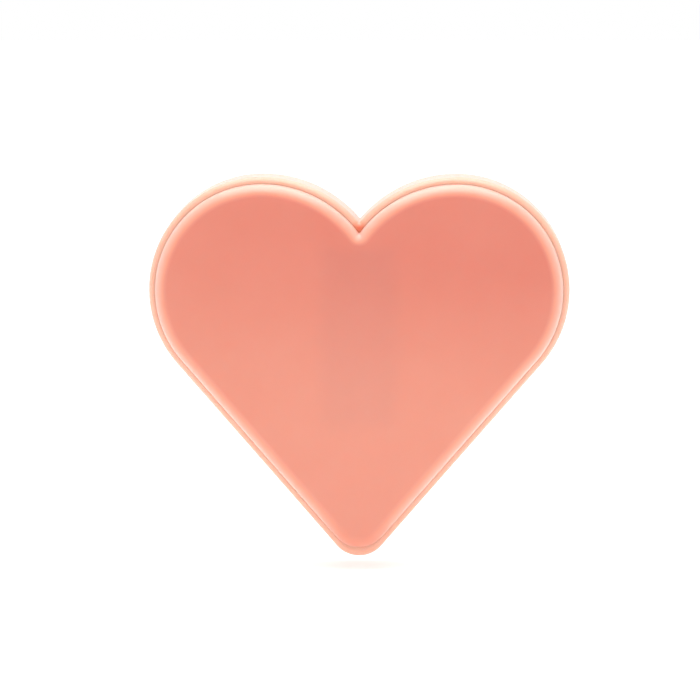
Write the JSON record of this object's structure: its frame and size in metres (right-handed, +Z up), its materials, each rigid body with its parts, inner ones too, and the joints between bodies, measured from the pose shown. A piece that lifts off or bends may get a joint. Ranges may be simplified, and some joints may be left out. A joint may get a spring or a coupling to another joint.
{
  "type": "heart shaped wall lantern",
  "caption": "Hollow heart-shaped wall lantern of translucent plastic with a raised front panel, lamp boards inside, a hinged battery door, a slide switch and a hanging keyhole.",
  "frame": {"origin": "where the nail sits at the top of the hanging keyhole, on the wall plane", "axes": "+X to the viewer's right, +Y towards the wall, +Z up; the lit face looks along -Y"},
  "size_m": [0.19, 0.038, 0.1723],
  "materials": {
    "rear_shell": "satin translucent coral",
    "front_cover": "satin translucent coral",
    "battery_door": "satin translucent coral",
    "screw_steel": "zinc plated",
    "brass_insert": "plain",
    "cell_wrap": "printed wrap, plain",
    "contact_steel": "nickel plated",
    "circuit_board": "solder mask",
    "switch_case": "plated",
    "switch_knob": "fine grain",
    "chip_black": "moulded",
    "led_resin": "clear resin",
    "lead_sleeve": "soft sleeve"
  },
  "bodies": {
    "housing": {"rear_shell": "rear_shell", "front_cover": "front_cover", "case_screws": "screw_steel", "door_insert": "brass_insert", "cell_left": "cell_wrap", "cell_right": "cell_wrap", "positive_contact": "contact_steel", "negative_contact": "contact_steel", "bridge_contact": "contact_steel", "contact_springs": "contact_steel", "control_board": "circuit_board", "board_screws": "screw_steel", "switch_case": "switch_case", "timer_chip": "chip_black", "control_resistors": "chip_black", "led_board_left": "circuit_board", "led_board_right": "circuit_board", "led_board_lower": "circuit_board", "led_resistors": "chip_black", "leds_left": "led_resin", "leds_right": "led_resin", "leds_lower": "led_resin", "left_led_lead": "lead_sleeve", "right_led_lead": "lead_sleeve", "lower_led_lead": "lead_sleeve"},
    "door": {"battery_door": "battery_door"},
    "door_screw": {"door_screw": "screw_steel"},
    "switch_knob": {"switch_knob": "switch_knob"}
  },
  "joints": [
    {"name": "door_hinge", "type": "hinge", "parent": "housing", "child": "door", "pos_m": [0, -0.0015, -0.0229], "axis": [1, 0, 0], "range_deg": [0, 90]},
    {"name": "door_screw_turn", "type": "hinge", "parent": "door", "child": "door_screw", "pos_m": [0, -0.0019, -0.0858], "axis": [0, 1, 0], "continuous": true},
    {"name": "switch_slide", "type": "slide", "parent": "housing", "child": "switch_knob", "axis": [1, 0, 0], "range_m": [-0.002, 0.002]}
  ]
}
